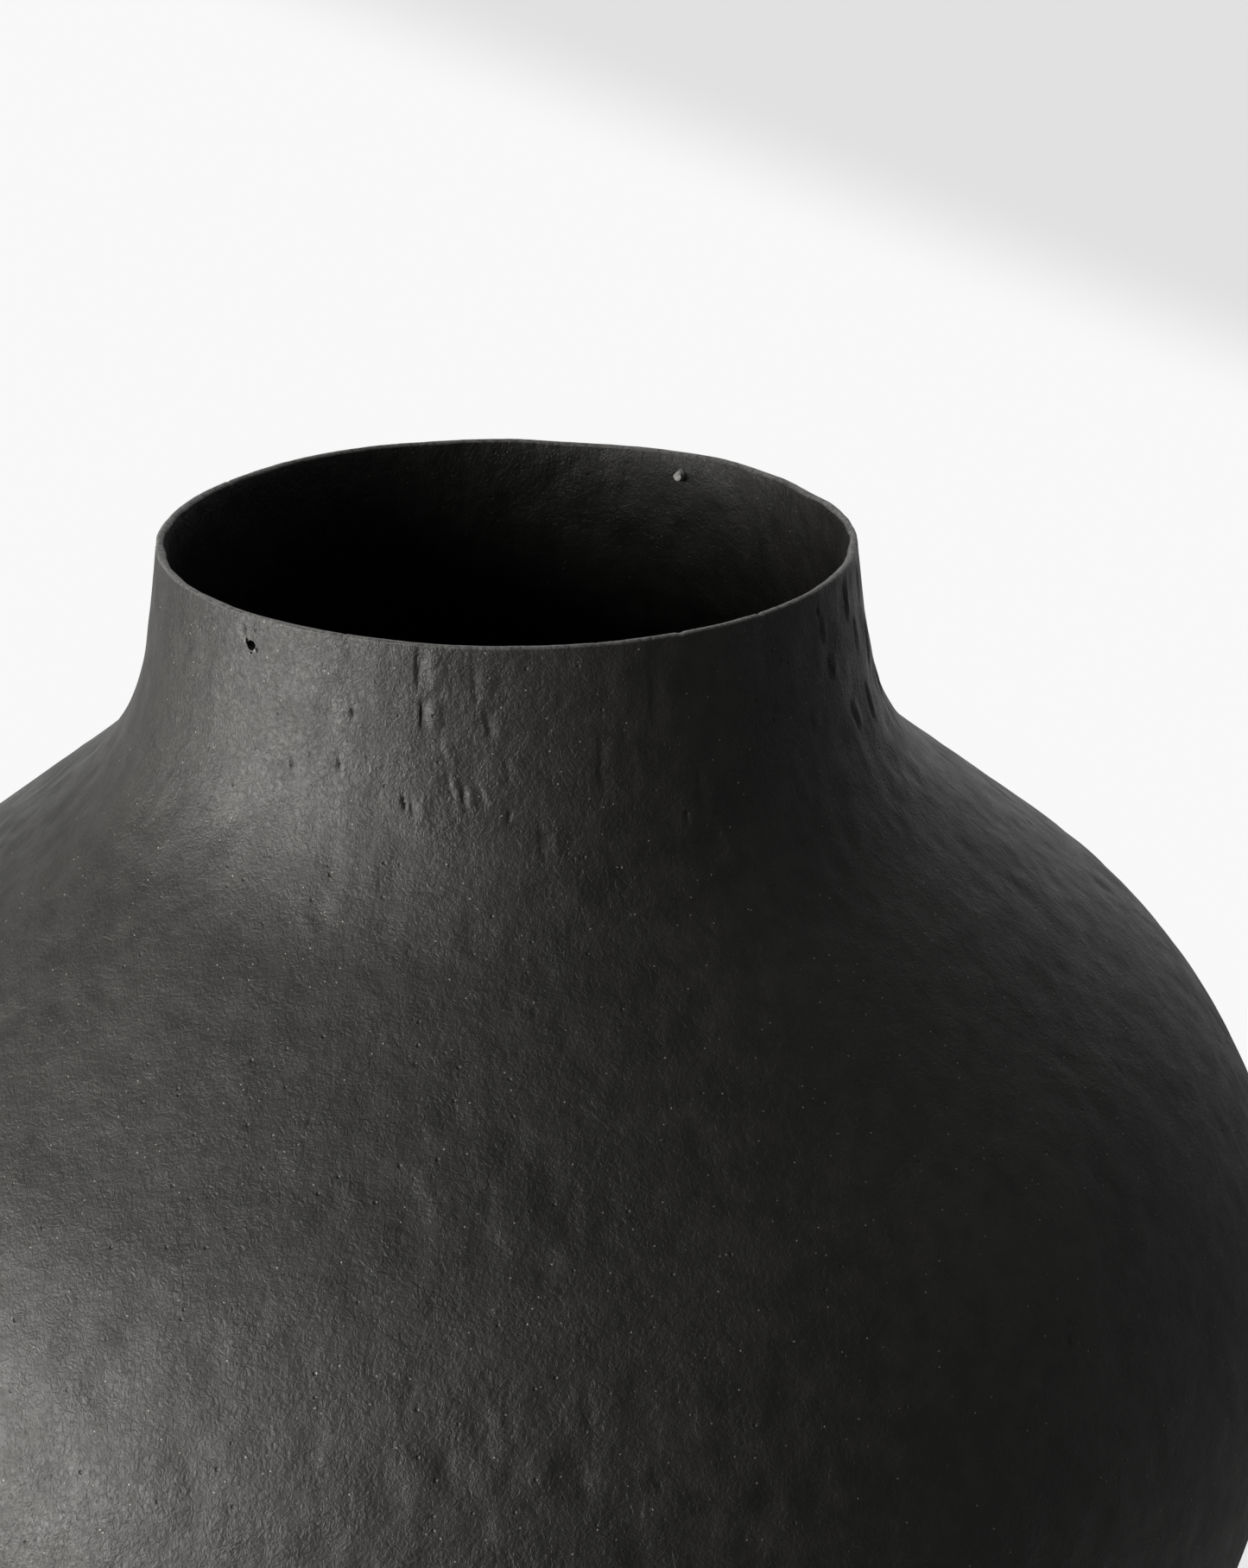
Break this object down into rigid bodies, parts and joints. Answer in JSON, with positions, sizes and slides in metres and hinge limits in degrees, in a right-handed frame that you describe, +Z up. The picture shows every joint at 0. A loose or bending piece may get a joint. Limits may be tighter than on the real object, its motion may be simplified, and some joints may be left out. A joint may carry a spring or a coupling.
{
  "type": "globular clay jar",
  "caption": "Large round-bellied jar of matt black clay with a short, slightly flared neck, a thin lip, a pricked hole under the lip and a flat base.",
  "frame": {"origin": "middle of the flat underside", "axes": "+Z up along the jar's axis; the pricked hole is at the front left, 131 degrees clockwise from +X seen from above"},
  "size_m": [0.495, 0.495, 0.44],
  "materials": {
    "smoked_clay": "matt, smoke-blackened, unglazed, with beaten dimples and small pits",
    "neck_clay": "matt, smoke-blackened, unglazed, with upright tool marks and a lip rubbed lighter",
    "rubbed_clay": "matt, the black skin rubbed off"
  },
  "bodies": {
    "root": {"base_dish": "smoked_clay", "bowl_coil_1": "smoked_clay", "bowl_coil_2": "smoked_clay", "bowl_coil_3": "smoked_clay", "bowl_coil_4": "smoked_clay", "bowl_coil_5": "smoked_clay", "bowl_coil_6": "smoked_clay", "belly_coil_1": "smoked_clay", "belly_coil_2": "smoked_clay", "shoulder_coil_1": "smoked_clay", "shoulder_coil_2": "smoked_clay", "shoulder_coil_3": "smoked_clay", "neck_coil": "neck_clay", "clay_nub": "rubbed_clay"}
  },
  "joints": []
}
